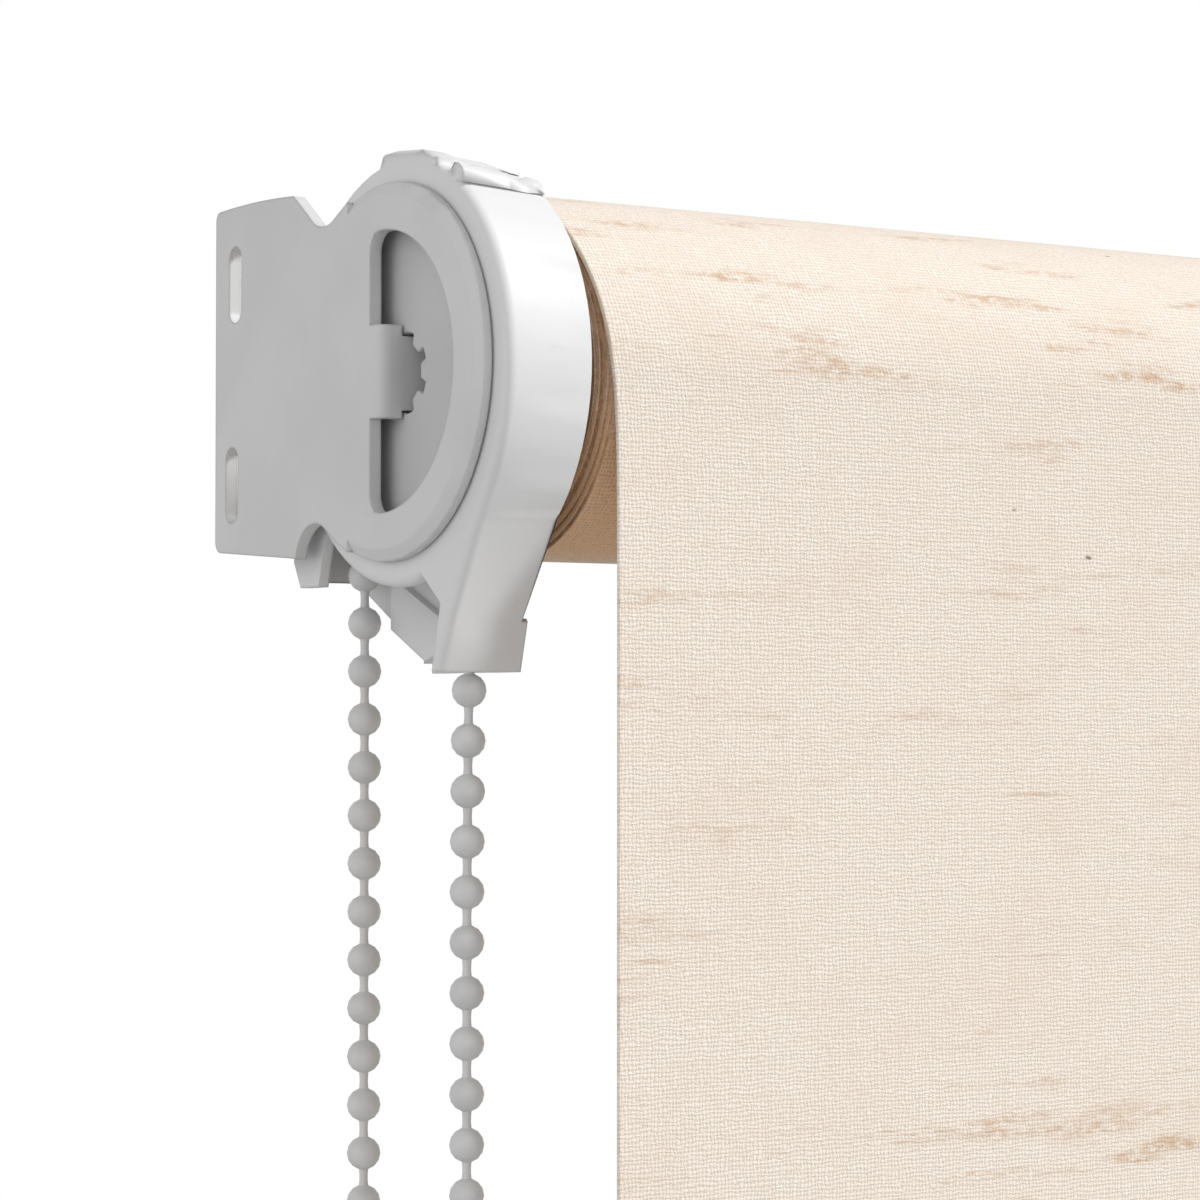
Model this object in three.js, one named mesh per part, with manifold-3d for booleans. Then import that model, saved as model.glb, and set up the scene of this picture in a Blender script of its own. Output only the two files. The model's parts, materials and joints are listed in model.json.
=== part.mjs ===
// A chain-operated roller blind: clutch bracket, clutch, tube, wound and hanging fabric, bottom rail,
// sprung idle end and bead chain. Millimetres, +Z up, +Y towards the wall, X along the roller.
// Every piece is drawn round the roller's axis (the X axis); the group then moves so that the origin
// is the point midway between the two fixing slots on the clutch bracket's outer face.
import * as THREE from 'three';
import { mergeVertices } from 'three/addons/utils/BufferGeometryUtils.js';
import Module from 'manifold-3d';

const wasm = await Module();
wasm.setup();

// ---- driving dimensions ---------------------------------------------------------------------
const OVERALL_WIDTH = 600; // outer face to outer face of the two brackets
const FABRIC_START = 19.4; // clutch bracket's outer face to the fabric's edge
const FABRIC_END = 579.4;
const SLOT_LINE_Y = 38; // fixing slots, from the roller's axis
const WALL_Y = 43; // wall face, from the roller's axis
const PLATE = 1.6; // bracket wall thickness
const DISC_RADIUS = 22.8;
const WINDOW_RADIUS = 17; // the D-shaped window in the disc
const WINDOW_CHORD_Y = 2.5;
const GUARD_NEAR_X = 2.1;
const GUARD_FAR_X = 13.9;
const GUARD_WALL = 1.4;
const CORE_X = 3.5; // the clutch core's front face, the floor of the window
const CHAIN_X = 8.75; // the chain's plane
const CHAIN_PITCH = 6;
const POCKETS = 20;
const PITCH_RADIUS = (CHAIN_PITCH * POCKETS) / (2 * Math.PI); // 19.1
const BEAD = 4.2;
const ROOM_STRAND_Y = -5.8;
const TUBE_RADIUS = 16;
const TUBE_WALL = 1.2;
const TUBE_START = 16.4;
const TUBE_END = 583;
const ROLL_RADIUS = 22.65;
const CLOTH = 0.6;
const SHEET_BOTTOM_Z = -792;
const RAIL_TOP_Z = -788;
const RAIL_HEIGHT = 24;
const RAIL_DEPTH = 9;
const GAP = 0.3; // running gap between neighbours

const X_AXIS = new THREE.Vector3(1, 0, 0);
const Y_AXIS = new THREE.Vector3(0, 1, 0);
const Z_AXIS = new THREE.Vector3(0, 0, 1);
const rad = THREE.MathUtils.degToRad;

// ---- solids ---------------------------------------------------------------------------------
function solid(geometry) {
  const bare = geometry.index ? geometry.toNonIndexed() : geometry.clone();
  bare.deleteAttribute('normal');
  bare.deleteAttribute('uv');
  const merged = mergeVertices(bare, 1e-4);
  return new wasm.Manifold(new wasm.Mesh({
    numProp: 3,
    vertProperties: new Float32Array(merged.attributes.position.array),
    triVerts: new Uint32Array(merged.index.array),
  }));
}

function surface(manifold) {
  const out = manifold.getMesh();
  const geometry = new THREE.BufferGeometry();
  geometry.setAttribute('position', new THREE.BufferAttribute(new Float32Array(out.vertProperties), 3));
  geometry.setIndex(new THREE.BufferAttribute(new Uint32Array(out.triVerts), 1));
  geometry.computeVertexNormals();
  return geometry;
}

function joined(...solids) {
  return solids.reduce((sum, next) => sum.add(next));
}

// An outline drawn in (y, z), extruded along X from x0 to x1.
function prismX(outline, x0, x1, curveSegments = 12) {
  const settings = { depth: x1 - x0, bevelEnabled: false, curveSegments };
  const geometry = new THREE.ExtrudeGeometry(outline, settings);
  geometry.applyMatrix4(new THREE.Matrix4().makeBasis(Y_AXIS, Z_AXIS, X_AXIS));
  geometry.translate(x0, 0, 0);
  return solid(geometry);
}

// An outline drawn in (x, y), extruded along Z from z0 to z1.
function prismZ(outline, z0, z1, curveSegments = 8) {
  const settings = { depth: z1 - z0, bevelEnabled: false, curveSegments };
  const geometry = new THREE.ExtrudeGeometry(outline, settings);
  geometry.translate(0, 0, z0);
  return solid(geometry);
}

// A closed [radius, x] profile turned round the X axis.
function turned(profile, segments = 48) {
  const closed = [...profile, profile[0]].map(([r, x]) => new THREE.Vector2(r, x));
  const geometry = new THREE.LatheGeometry(closed, segments);
  geometry.rotateZ(-Math.PI / 2);
  return solid(geometry);
}

function ring(inner, outer, x0, x1, segments = 48) {
  return turned([[inner, x0], [outer, x0], [outer, x1], [inner, x1]], segments);
}

function disc(radius, x0, x1, segments = 48) {
  const geometry = new THREE.CylinderGeometry(radius, radius, x1 - x0, segments);
  geometry.rotateZ(-Math.PI / 2);
  geometry.translate((x0 + x1) / 2, 0, 0);
  return solid(geometry);
}

function box(x0, x1, y0, y1, z0, z1) {
  const geometry = new THREE.BoxGeometry(x1 - x0, y1 - y0, z1 - z0);
  geometry.translate((x0 + x1) / 2, (y0 + y1) / 2, (z0 + z1) / 2);
  return solid(geometry);
}

// A slot's outline: length along z, full round ends.
function slotOutline(y, z, length, width) {
  const reach = (length - width) / 2;
  const outline = new THREE.Shape();
  outline.absarc(y, z + reach, width / 2, 0, Math.PI);
  outline.absarc(y, z - reach, width / 2, Math.PI, 2 * Math.PI);
  outline.closePath();
  return outline;
}

function polygon(points) {
  return new THREE.Shape(points.map(([a, b]) => new THREE.Vector2(a, b)));
}

// A round bar along a curve, with the given number of sides.
function bar(curve, radius, steps, sides) {
  const section = new THREE.Shape();
  for (let i = 0; i < sides; i += 1) {
    const a = (2 * Math.PI * i) / sides;
    const move = i === 0 ? 'moveTo' : 'lineTo';
    section[move](radius * Math.cos(a), radius * Math.sin(a));
  }
  section.closePath();
  return new THREE.ExtrudeGeometry(section, { steps, extrudePath: curve, bevelEnabled: false });
}

class Helix extends THREE.Curve {
  constructor(radius, x0, x1, turns) {
    super();
    Object.assign(this, { radius, x0, x1, turns });
  }

  getPoint(t, target = new THREE.Vector3()) {
    const a = 2 * Math.PI * this.turns * t;
    const x = this.x0 + (this.x1 - this.x0) * t;
    return target.set(x, this.radius * Math.cos(a), this.radius * Math.sin(a));
  }
}

// ---- materials ------------------------------------------------------------------------------
const colours = {
  bracket: [0xd9d9d8, 0.45, 0],
  moulding: [0xe9e9e7, 0.4, 0],
  acetal: [0xc9c7c0, 0.4, 0],
  steel: [0x9da0a4, 0.3, 1],
  aluminium: [0xc8c8ca, 0.35, 1],
  cloth: [0xe0cfbb, 0.95, 0],
  chain: [0xc4c4c3, 0.4, 0],
};

const group = new THREE.Group();
group.position.y = -SLOT_LINE_Y;

function add(name, shape, kind) {
  const [color, roughness, metalness] = colours[kind];
  const geometry = shape.isBufferGeometry ? shape : surface(shape);
  const mesh = new THREE.Mesh(geometry, new THREE.MeshStandardMaterial({ color, roughness, metalness }));
  mesh.name = name;
  group.add(mesh);
}

// ---- brackets -------------------------------------------------------------------------------
// The side plate: an arm that reaches back to the wall and a round disc on the roller's axis, with a
// concave notch above and below where the two meet.
const UPPER_NOTCH = { angle: rad(60), radius: 5.2 };
const LOWER_NOTCH = { angle: rad(-54), radius: 4.9 };

function sidePlateOutline() {
  const upper = new THREE.Vector2(Math.cos(UPPER_NOTCH.angle), Math.sin(UPPER_NOTCH.angle))
    .multiplyScalar(DISC_RADIUS + UPPER_NOTCH.radius);
  const lower = new THREE.Vector2(Math.cos(LOWER_NOTCH.angle), Math.sin(LOWER_NOTCH.angle))
    .multiplyScalar(DISC_RADIUS + LOWER_NOTCH.radius);
  const outline = new THREE.Shape();
  outline.absarc(WALL_Y - 1.2, 22.9, 1.2, 0, rad(90));
  outline.quadraticCurveTo(32, 24.5, 22, 23.8);
  outline.absarc(upper.x, upper.y, UPPER_NOTCH.radius, rad(-45), rad(-120), true);
  outline.absarc(0, 0, DISC_RADIUS, UPPER_NOTCH.angle, 2 * Math.PI + LOWER_NOTCH.angle);
  outline.absarc(lower.x, lower.y, LOWER_NOTCH.radius, rad(126), rad(8), true);
  outline.lineTo(22.2, -21.6);
  outline.absarc(WALL_Y - 1.6, -18.6, 1.6, rad(-85), 0);
  outline.closePath();
  return outline;
}

const SLOT = { length: 9.8, width: 3.4 };
const SLOT_CENTRES = [[SLOT_LINE_Y - 0.4, 14.2], [SLOT_LINE_Y + 0.4, -11.6]];
const FLANGE = { reach: 28, top: 18.6, bottom: -15.4, hole: 2.3, holeX: 20 };

// Turns the corner at the wall and carries two screw holes of its own.
function wallFlange(x0, x1, holeX) {
  let flange = box(x0, x1, WALL_Y - PLATE, WALL_Y, FLANGE.bottom, FLANGE.top);
  for (const z of [FLANGE.top - 7, FLANGE.bottom + 7]) {
    const hole = new THREE.CylinderGeometry(FLANGE.hole, FLANGE.hole, 4 * PLATE, 24);
    hole.translate(holeX, WALL_Y, z);
    flange = flange.subtract(solid(hole));
  }
  return flange;
}

function sidePlate(x0, x1) {
  let plate = prismX(sidePlateOutline(), x0, x1, 16);
  for (const [y, z] of SLOT_CENTRES) {
    plate = plate.subtract(prismX(slotOutline(y, z, SLOT.length, SLOT.width), x0 - 1, x1 + 1, 8));
  }
  return plate;
}

const HOOK_DEPTH = 3.2;
const HOOK_END = 9;
const HOOK_HALF = 4.5; // half the hook's height where it is inside the socket
const HOOK_FRONT_Y = 0.2;
const HOOK_BACK_Y = 1.7;

function clutchBracket() {
  const RIM_DEPTH = GUARD_NEAR_X - GAP;
  const WINDOW_LIP = 0.4;
  const corner = 2.4; // fillet where the window's straight side meets its arc
  const cornerAngle = Math.acos((WINDOW_CHORD_Y - corner) / (WINDOW_RADIUS - corner));
  const cornerZ = (WINDOW_RADIUS - corner) * Math.sin(cornerAngle);
  const window = new THREE.Shape();
  window.absarc(WINDOW_CHORD_Y - corner, cornerZ, corner, 0, cornerAngle);
  window.absarc(0, 0, WINDOW_RADIUS, cornerAngle, 2 * Math.PI - cornerAngle);
  window.absarc(WINDOW_CHORD_Y - corner, -cornerZ, corner, -cornerAngle, 0);
  window.closePath();
  // outside the disc, everything in front of a sloping edge is pared away
  const edge = turned([
    [DISC_RADIUS - 1.4, -1], [DISC_RADIUS + 1, -1], [DISC_RADIUS + 1, 1.5], [DISC_RADIUS - 1.4, 0],
  ], 72);
  const roomSide = box(-2, PLATE, -40, 8, -40, 40);
  const lip = turned([[WINDOW_RADIUS - 1, -1], [WINDOW_RADIUS + 1, -1], [WINDOW_RADIUS - 1, 1]], 72)
    .intersect(box(-2, WINDOW_LIP, -40, WINDOW_CHORD_Y - 1, -40, 40));
  const hook = polygon([
    [0, WINDOW_CHORD_Y + 0.2], [0, 1.8], [0.12, 1.15], [0.45, 0.65], [1, 0.33], [1.8, HOOK_FRONT_Y],
    [HOOK_DEPTH, HOOK_FRONT_Y], [HOOK_DEPTH, HOOK_BACK_Y], [PLATE, HOOK_BACK_Y],
    [PLATE, WINDOW_CHORD_Y + 0.2],
  ]);
  return joined(
    sidePlate(0, PLATE).subtract(edge.intersect(roomSide)),
    ring(WINDOW_RADIUS + 2.4, DISC_RADIUS, PLATE - 0.2, RIM_DEPTH, 72),
    wallFlange(0, FLANGE.reach, FLANGE.holeX),
  ).subtract(prismX(window, -1, HOOK_DEPTH, 48))
    .subtract(lip)
    .add(prismZ(hook, -5.5, 5.8))
    .add(box(HOOK_DEPTH - 0.2, HOOK_END, HOOK_FRONT_Y, HOOK_BACK_Y, -HOOK_HALF, HOOK_HALF));
}

const PIN_RADIUS = 3;

function idleBracket() {
  const plateX = OVERALL_WIDTH - PLATE;
  return joined(
    sidePlate(plateX, OVERALL_WIDTH),
    wallFlange(OVERALL_WIDTH - FLANGE.reach, OVERALL_WIDTH, OVERALL_WIDTH - FLANGE.holeX),
    disc(7.5, plateX - 5, plateX + 0.2, 32),
  ).subtract(disc(PIN_RADIUS + GAP, plateX - 6, OVERALL_WIDTH + 1, 32));
}

// ---- chain guard ----------------------------------------------------------------------------
// A drum round the chain wheel with a raised, round-edged near face, a tail that brings the room strand
// back under the axis, and an ear beside the wall strand. A flat back fits inside its far edge.
const TAIL_BOTTOM = -36;
const TAIL_KNEE = -30;
const EAR_Y = 28.2;
const EAR_X = 3.6; // the ear's near face stands back from the drum's
const EAR_BOTTOM = -25.1;
const BACK_X = 12.5; // near face of the back
const BACK_FIT = 0.15;
const FOOT_STEP = 0.8; // the tail's foot stands this far beyond the guard's far face
const FOOT_TOP = -29.6;
const FOOT_INNER_Y = -7.9;
const TAIL_INNER_Y = -7.65;
const NEAR_TAIL_ANGLE = rad(213.5); // where the tail leaves the drum, at the near face and at the far one
const FAR_TAIL_ANGLE = rad(226);
const ARC_STEPS = 64;
const TAIL_STEPS = 6;

// The guard's size at one X plane: the moulding narrows evenly from its near face to its far one.
function guardSection(x) {
  const t = (x - GUARD_NEAR_X) / (GUARD_FAR_X - GUARD_NEAR_X);
  const between = THREE.MathUtils.lerp;
  return {
    radius: between(25.9, 25.2, t),
    tailAngle: between(NEAR_TAIL_ANGLE, FAR_TAIL_ANGLE, t),
    kneeY: between(-12.9, -9.9, t),
    tipY: between(-10.2, -8.3, t),
  };
}

// The drum's arc and the top of its tail, at the same angles in every section so that the sides stay
// even: past the angle where the tail leaves the drum, each point is on the tail's straight line.
function drumArc(x, inset, from) {
  const { radius, tailAngle, kneeY } = guardSection(x);
  const r = radius - inset;
  const leave = new THREE.Vector2(r * Math.cos(tailAngle), r * Math.sin(tailAngle));
  const tail = new THREE.Vector2(kneeY + inset, TAIL_KNEE).sub(leave);
  const angles = [];
  for (let i = 0; i < ARC_STEPS; i += 1) {
    angles.push(from + ((NEAR_TAIL_ANGLE - from) * i) / ARC_STEPS);
  }
  for (let i = 0; i <= TAIL_STEPS; i += 1) {
    angles.push(NEAR_TAIL_ANGLE + ((FAR_TAIL_ANGLE - NEAR_TAIL_ANGLE) * i) / TAIL_STEPS);
  }
  return angles.map((a) => {
    const ray = new THREE.Vector2(Math.cos(a), Math.sin(a));
    const reach = a <= tailAngle ? r : leave.cross(tail) / ray.cross(tail);
    return [reach * ray.x, reach * ray.y];
  });
}

// Drum and tail, counter-clockwise from the tail's inner edge, drawn in by inset all round.
function drumOutline(x, inset) {
  const { kneeY, tipY } = guardSection(x);
  return [
    ...drumArc(x, inset, rad(-104)),
    [kneeY + inset, TAIL_KNEE],
    [tipY + inset, TAIL_BOTTOM],
    [tipY + 1.5, TAIL_BOTTOM],
    [kneeY + 2.2, TAIL_KNEE + 2],
  ];
}

// The hollow of the drum and tail, open below the tail.
function hollowOutline(x) {
  const { kneeY, tipY } = guardSection(x);
  const kneeWall = 0.8;
  const tipWall = 0.45;
  return [
    ...drumArc(x, GUARD_WALL, rad(-60)),
    [kneeY + kneeWall, TAIL_KNEE],
    [tipY + tipWall, TAIL_BOTTOM],
    [tipY + tipWall, TAIL_BOTTOM - 1],
    [12, TAIL_BOTTOM - 1],
  ];
}

// A solid through a row of outlines, each at its own X and all with the same number of points.
function loft(sections) {
  const count = sections[0].points.length;
  const position = sections.flatMap(({ x, points }) => points.flatMap(([y, z]) => [x, y, z]));
  const index = [];
  const contour = sections[0].points.map(([y, z]) => new THREE.Vector2(y, z));
  const last = (sections.length - 1) * count;
  for (const [a, b, c] of THREE.ShapeUtils.triangulateShape(contour, [])) {
    index.push(a, c, b, last + a, last + b, last + c);
  }
  for (let row = 0; row < sections.length - 1; row += 1) {
    for (let i = 0; i < count; i += 1) {
      const [a, b] = [row * count + i, row * count + ((i + 1) % count)];
      index.push(a, b, b + count, a, b + count, a + count);
    }
  }
  const geometry = new THREE.BufferGeometry();
  geometry.setAttribute('position', new THREE.Float32BufferAttribute(position, 3));
  geometry.setIndex(index);
  return solid(geometry);
}

// A raised piece on top of the drum: an outline drawn at the near face. At each station along X, the
// part of it above the drum's surface has a share of its height there.
function topRib(points, stations) {
  const drumRadius = guardSection(GUARD_NEAR_X).radius;
  return loft(stations.map(([x, share]) => {
    const { radius } = guardSection(x);
    return {
      x,
      points: points.map(([y, z]) => {
        const r = Math.hypot(y, z);
        const above = Math.max(0, r - drumRadius);
        const scale = ((r - above) * (radius / drumRadius) + above * share) / r;
        return [y * scale, z * scale];
      }),
    };
  }));
}

const CORE_FLANGE_RADIUS = 21.4;

function guardCover() {
  const edge = [[0, 1.3], [0.1, 0.8], [0.4, 0.35], [0.8, 0.1], [1.3, 0]];
  const drum = loft([
    ...edge.map(([dx, inset]) => ({ x: GUARD_NEAR_X + dx, points: drumOutline(GUARD_NEAR_X + dx, inset) })),
    { x: GUARD_FAR_X, points: drumOutline(GUARD_FAR_X, 0) },
  ]);
  const hollowStart = GUARD_NEAR_X + GUARD_WALL + 0.1;
  const hollow = loft([hollowStart, GUARD_FAR_X + 1].map((x) => ({ x, points: hollowOutline(x) })));
  const ear = polygon([
    [21.7, EAR_BOTTOM], [26.4, EAR_BOTTOM], [EAR_Y, -21.8], [EAR_Y, -15.5], [24.3, -7.5], [18, -12],
  ]);
  const chainWay = polygon([[10, TAIL_BOTTOM], [26.8, TAIL_BOTTOM], [26.8, -15], [22.6, -7], [10, -7]]);
  const far = guardSection(GUARD_FAR_X);
  const foot = polygon([
    [FOOT_INNER_Y, FOOT_TOP], [FOOT_INNER_Y, TAIL_BOTTOM], [far.tipY, TAIL_BOTTOM], [far.kneeY, TAIL_KNEE],
    [far.kneeY + 0.3, FOOT_TOP],
  ]);
  const grip = [
    [4.4, 25.0], [3.6, 26.4], [3.1, 26.7], [0, 26.75], [-6, 26.2], [-9.6, 24.9], [-9, 24], [4, 24],
  ];
  const rib = [[-12.4, 23.0], [-13.3, 23.75], [-14.3, 23.5], [-15.1, 22.8], [-15.4, 21.2], [-12.6, 21.8]];
  return joined(
    drum,
    prismX(ear, EAR_X, GUARD_FAR_X),
    topRib(grip, [[GUARD_NEAR_X + 0.3, 1], [5.4, 1], [7, 0.7], [11, 0.6], [GUARD_FAR_X, 0.1]]),
    topRib(rib, [[GUARD_NEAR_X + 0.3, 1], [9, 0.8], [11.4, 0.3], [12.6, 0.7], [GUARD_FAR_X, 0.6]]),
    prismX(foot, BACK_X, GUARD_FAR_X + FOOT_STEP),
  ).subtract(hollow)
    .subtract(prismX(chainWay, EAR_X + GUARD_WALL, GUARD_FAR_X + 1))
    .subtract(disc(CORE_FLANGE_RADIUS + GAP, 0, CORE_X + GUARD_WALL + GAP, 64));
}

// The back's lower edge slopes from the ear to the tail, with a pad beside the strand's way out.
function guardBack() {
  const { kneeY } = guardSection(GUARD_FAR_X);
  const plate = polygon([
    ...drumArc(GUARD_FAR_X, GUARD_WALL + BACK_FIT, rad(-17)),
    [kneeY + 1, TAIL_KNEE], [TAIL_INNER_Y, TAIL_BOTTOM],
    [8.8, TAIL_BOTTOM], [8.8, -34.8], [26.2, EAR_BOTTOM],
    [26.8 - BACK_FIT, -24.4], [26.8 - BACK_FIT, -15.2], [22.5, -7.2],
  ]);
  const pad = polygon([[8.8, TAIL_BOTTOM + 1.2], [8.8, -34.4], [17, -30.4], [17, -23.8], [-1, -31.9]]);
  const foot = polygon([
    [TAIL_INNER_Y, FOOT_TOP], [TAIL_INNER_Y, TAIL_BOTTOM], [-2.8, TAIL_BOTTOM], [-2, -35.2], [-2, FOOT_TOP],
  ]);
  return prismX(plate, BACK_X, GUARD_FAR_X)
    .add(prismX(pad, BACK_X - 1.2, BACK_X + 0.1))
    .add(prismX(foot, BACK_X, GUARD_FAR_X + FOOT_STEP))
    .subtract(disc(13.6, 10, 20, 64));
}

// ---- clutch ---------------------------------------------------------------------------------
const POST_RADIUS = 9;
const POST_END = 47;
const SLEEVE_END = 30;

// The toothed socket that the bracket's hook enters, with no tooth where the hook passes.
function toothedSocket() {
  const TEETH = 7;
  const PASSED = [2, 5];
  const ROOT = 4.9;
  const outline = new THREE.Shape();
  for (let i = 0; i < TEETH; i += 1) {
    const tooth = Math.PI + (2 * Math.PI * i) / TEETH;
    const tip = PASSED.includes(i) ? ROOT : 3.6;
    for (const [turn, r] of [[-0.23, tip], [0.23, tip], [0.29, ROOT], [0.45, ROOT], [0.61, ROOT]]) {
      const move = i === 0 && turn < 0 ? 'moveTo' : 'lineTo';
      outline[move](r * Math.cos(tooth + turn), r * Math.sin(tooth + turn));
    }
  }
  outline.closePath();
  return outline;
}

function clutchCore() {
  return turned([
    [0, CORE_X], [CORE_FLANGE_RADIUS, CORE_X], [CORE_FLANGE_RADIUS, CORE_X + GUARD_WALL],
    [POST_RADIUS, CORE_X + GUARD_WALL], [POST_RADIUS, POST_END - 2.4], [POST_RADIUS - 1.2, POST_END - 2.4],
    [POST_RADIUS - 1.2, POST_END - 1], [POST_RADIUS, POST_END - 1],
    [POST_RADIUS - 0.6, POST_END], [0, POST_END],
  ], 64).subtract(prismX(toothedSocket(), 0, 14));
}

function chainWheel() {
  const flangeRadius = 21.3;
  const floor = PITCH_RADIUS - BEAD / 2 - GAP;
  const near = CORE_X + GUARD_WALL + GAP;
  const far = BACK_X - GAP;
  const half = BEAD / 2 + 0.35;
  let wheel = turned([
    [POST_RADIUS + GAP, near], [flangeRadius, near], [flangeRadius, near + 0.6], [floor + 1, CHAIN_X - half],
    [floor, CHAIN_X - half], [floor, CHAIN_X + half], [floor + 1, CHAIN_X + half], [flangeRadius, far - 0.6],
    [flangeRadius, far], [11.9, far], [11.9, SLEEVE_END], [10.7, SLEEVE_END],
    [10.7, far], [POST_RADIUS + GAP, far],
  ], 60);
  for (let i = 0; i < POCKETS; i += 1) {
    const a = (2 * Math.PI * i) / POCKETS;
    const pocket = new THREE.SphereGeometry(BEAD / 2 + 1.1, 8, 6);
    pocket.translate(CHAIN_X, PITCH_RADIUS * Math.cos(a), PITCH_RADIUS * Math.sin(a));
    wheel = wheel.subtract(solid(pocket));
  }
  return wheel;
}

function wrapSpring(x0) {
  return bar(new Helix(9.8, x0, x0 + 6.4, 5), 0.45, 70, 6);
}

// Room left in the plugs for the channel that runs along the inside of the tube.
const CHANNEL = {
  half: 3.5, bottom: TUBE_RADIUS - 2.9, slotHalf: 2.3, slotBottom: TUBE_RADIUS - 2,
};
const PLUG_FLANGE_RADIUS = TUBE_RADIUS + 1.5;
const HUB_BORE = 12.2;

function keyway(x0, x1) {
  return box(x0, x1, -CHANNEL.half - GAP, CHANNEL.half + GAP, CHANNEL.bottom - GAP, TUBE_RADIUS);
}

function driveHub() {
  const fit = TUBE_RADIUS - TUBE_WALL - GAP;
  return turned([
    [HUB_BORE, GUARD_FAR_X + 0.5], [PLUG_FLANGE_RADIUS, GUARD_FAR_X + 0.5],
    [PLUG_FLANGE_RADIUS, TUBE_START - GAP], [fit, TUBE_START - GAP],
    [fit, 43], [fit - 0.8, 44.2], [POST_RADIUS + GAP, 44.2], [POST_RADIUS + GAP, SLEEVE_END + 1],
    [HUB_BORE, SLEEVE_END + 1],
  ], 48).subtract(keyway(TUBE_START - GAP, 50));
}

function retainingRing() {
  return ring(POST_RADIUS - 0.8, 11.8, POST_END - 2.2, POST_END - 1.3, 32)
    .subtract(box(0, 60, -2, 2, 0, 20));
}

// ---- tube and cloth -------------------------------------------------------------------------
function rollerTube() {
  const channel = box(TUBE_START, TUBE_END, -CHANNEL.half, CHANNEL.half, CHANNEL.bottom, TUBE_RADIUS - 0.8);
  const { slotHalf, slotBottom } = CHANNEL;
  const slot = box(TUBE_START - 1, TUBE_END + 1, -slotHalf, slotHalf, slotBottom, 25);
  return ring(TUBE_RADIUS - TUBE_WALL, TUBE_RADIUS, TUBE_START, TUBE_END).add(channel).subtract(slot);
}

// ---- bottom rail ----------------------------------------------------------------------------
const RAIL_Y = -ROLL_RADIUS - GAP - CLOTH / 2;

function railOutline(grow) {
  const half = RAIL_DEPTH / 2 + grow;
  const top = RAIL_TOP_Z + grow;
  const bottom = RAIL_TOP_Z - RAIL_HEIGHT - grow;
  const outline = new THREE.Shape();
  outline.moveTo(RAIL_Y - 2, top);
  outline.quadraticCurveTo(RAIL_Y - half, top - 1, RAIL_Y - half, top - 8);
  outline.lineTo(RAIL_Y - half, bottom + half);
  outline.absarc(RAIL_Y, bottom + half, half, Math.PI, 2 * Math.PI);
  outline.lineTo(RAIL_Y + half, top - 8);
  outline.quadraticCurveTo(RAIL_Y + half, top - 1, RAIL_Y + 2, top);
  outline.closePath();
  return outline;
}

const ROD_Z = RAIL_TOP_Z - 6.6;
const RAIL_CELL = {
  top: RAIL_TOP_Z - 11.6, bottom: RAIL_TOP_Z - RAIL_HEIGHT + 1.6, half: RAIL_DEPTH / 2 - 1.3,
};

function railCell(inset, x0, x1) {
  return box(x0, x1, RAIL_Y - RAIL_CELL.half + inset, RAIL_Y + RAIL_CELL.half - inset,
    RAIL_CELL.bottom + 1.6 + inset, RAIL_CELL.top - inset);
}

function bottomRail() {
  const rodBore = new THREE.Shape();
  rodBore.absarc(RAIL_Y, ROD_Z, 2.9, 0, 2 * Math.PI);
  return prismX(railOutline(0), FABRIC_START, FABRIC_END, 10)
    .subtract(prismX(rodBore, FABRIC_START - 1, FABRIC_END + 1, 10))
    .subtract(box(0, OVERALL_WIDTH, RAIL_Y - 0.9, RAIL_Y + 0.9, ROD_Z, RAIL_TOP_Z + 1))
    .subtract(railCell(0, 0, OVERALL_WIDTH));
}

function railEndCap(face, inward) {
  const THICK = 2.4;
  const [x0, x1] = inward > 0 ? [face - THICK, face] : [face, face + THICK];
  const [p0, p1] = inward > 0 ? [face - 0.2, face + 9] : [face - 9, face + 0.2];
  return prismX(railOutline(0.3), x0, x1, 10).add(railCell(GAP, p0, p1));
}

// ---- idle end -------------------------------------------------------------------------------
const PLUG_START = 548;
const CHAMBER = { start: 550, end: 575.4, radius: 6.2 };
const COLLAR = { start: 573, radius: 5.6 };

function idlePlug() {
  const fit = TUBE_RADIUS - TUBE_WALL - GAP;
  return turned([
    [2, PLUG_START], [fit - 0.8, PLUG_START], [fit, PLUG_START + 1], [fit, TUBE_END + GAP],
    [PLUG_FLANGE_RADIUS, TUBE_END + GAP], [PLUG_FLANGE_RADIUS, TUBE_END + 2],
    [PIN_RADIUS + GAP, TUBE_END + 2],
    [PIN_RADIUS + GAP, CHAMBER.end], [CHAMBER.radius, CHAMBER.end], [CHAMBER.radius, CHAMBER.start],
    [2, CHAMBER.start],
  ], 48).subtract(keyway(PLUG_START - 1, TUBE_END + GAP));
}

function idlePin() {
  return turned([
    [0, 561.5], [PIN_RADIUS, 561.5], [PIN_RADIUS, COLLAR.start], [COLLAR.radius, COLLAR.start],
    [COLLAR.radius, COLLAR.start + 2], [PIN_RADIUS, COLLAR.start + 2], [PIN_RADIUS, OVERALL_WIDTH - 1.6],
    [PIN_RADIUS - 0.8, OVERALL_WIDTH - 0.8], [0, OVERALL_WIDTH - 0.8],
  ], 32);
}

function pinSpring() {
  const start = CHAMBER.start + 0.9;
  const end = COLLAR.start - 0.9;
  return bar(new Helix(4.6, start, end, 7), 0.5, 98, 6);
}

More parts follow.
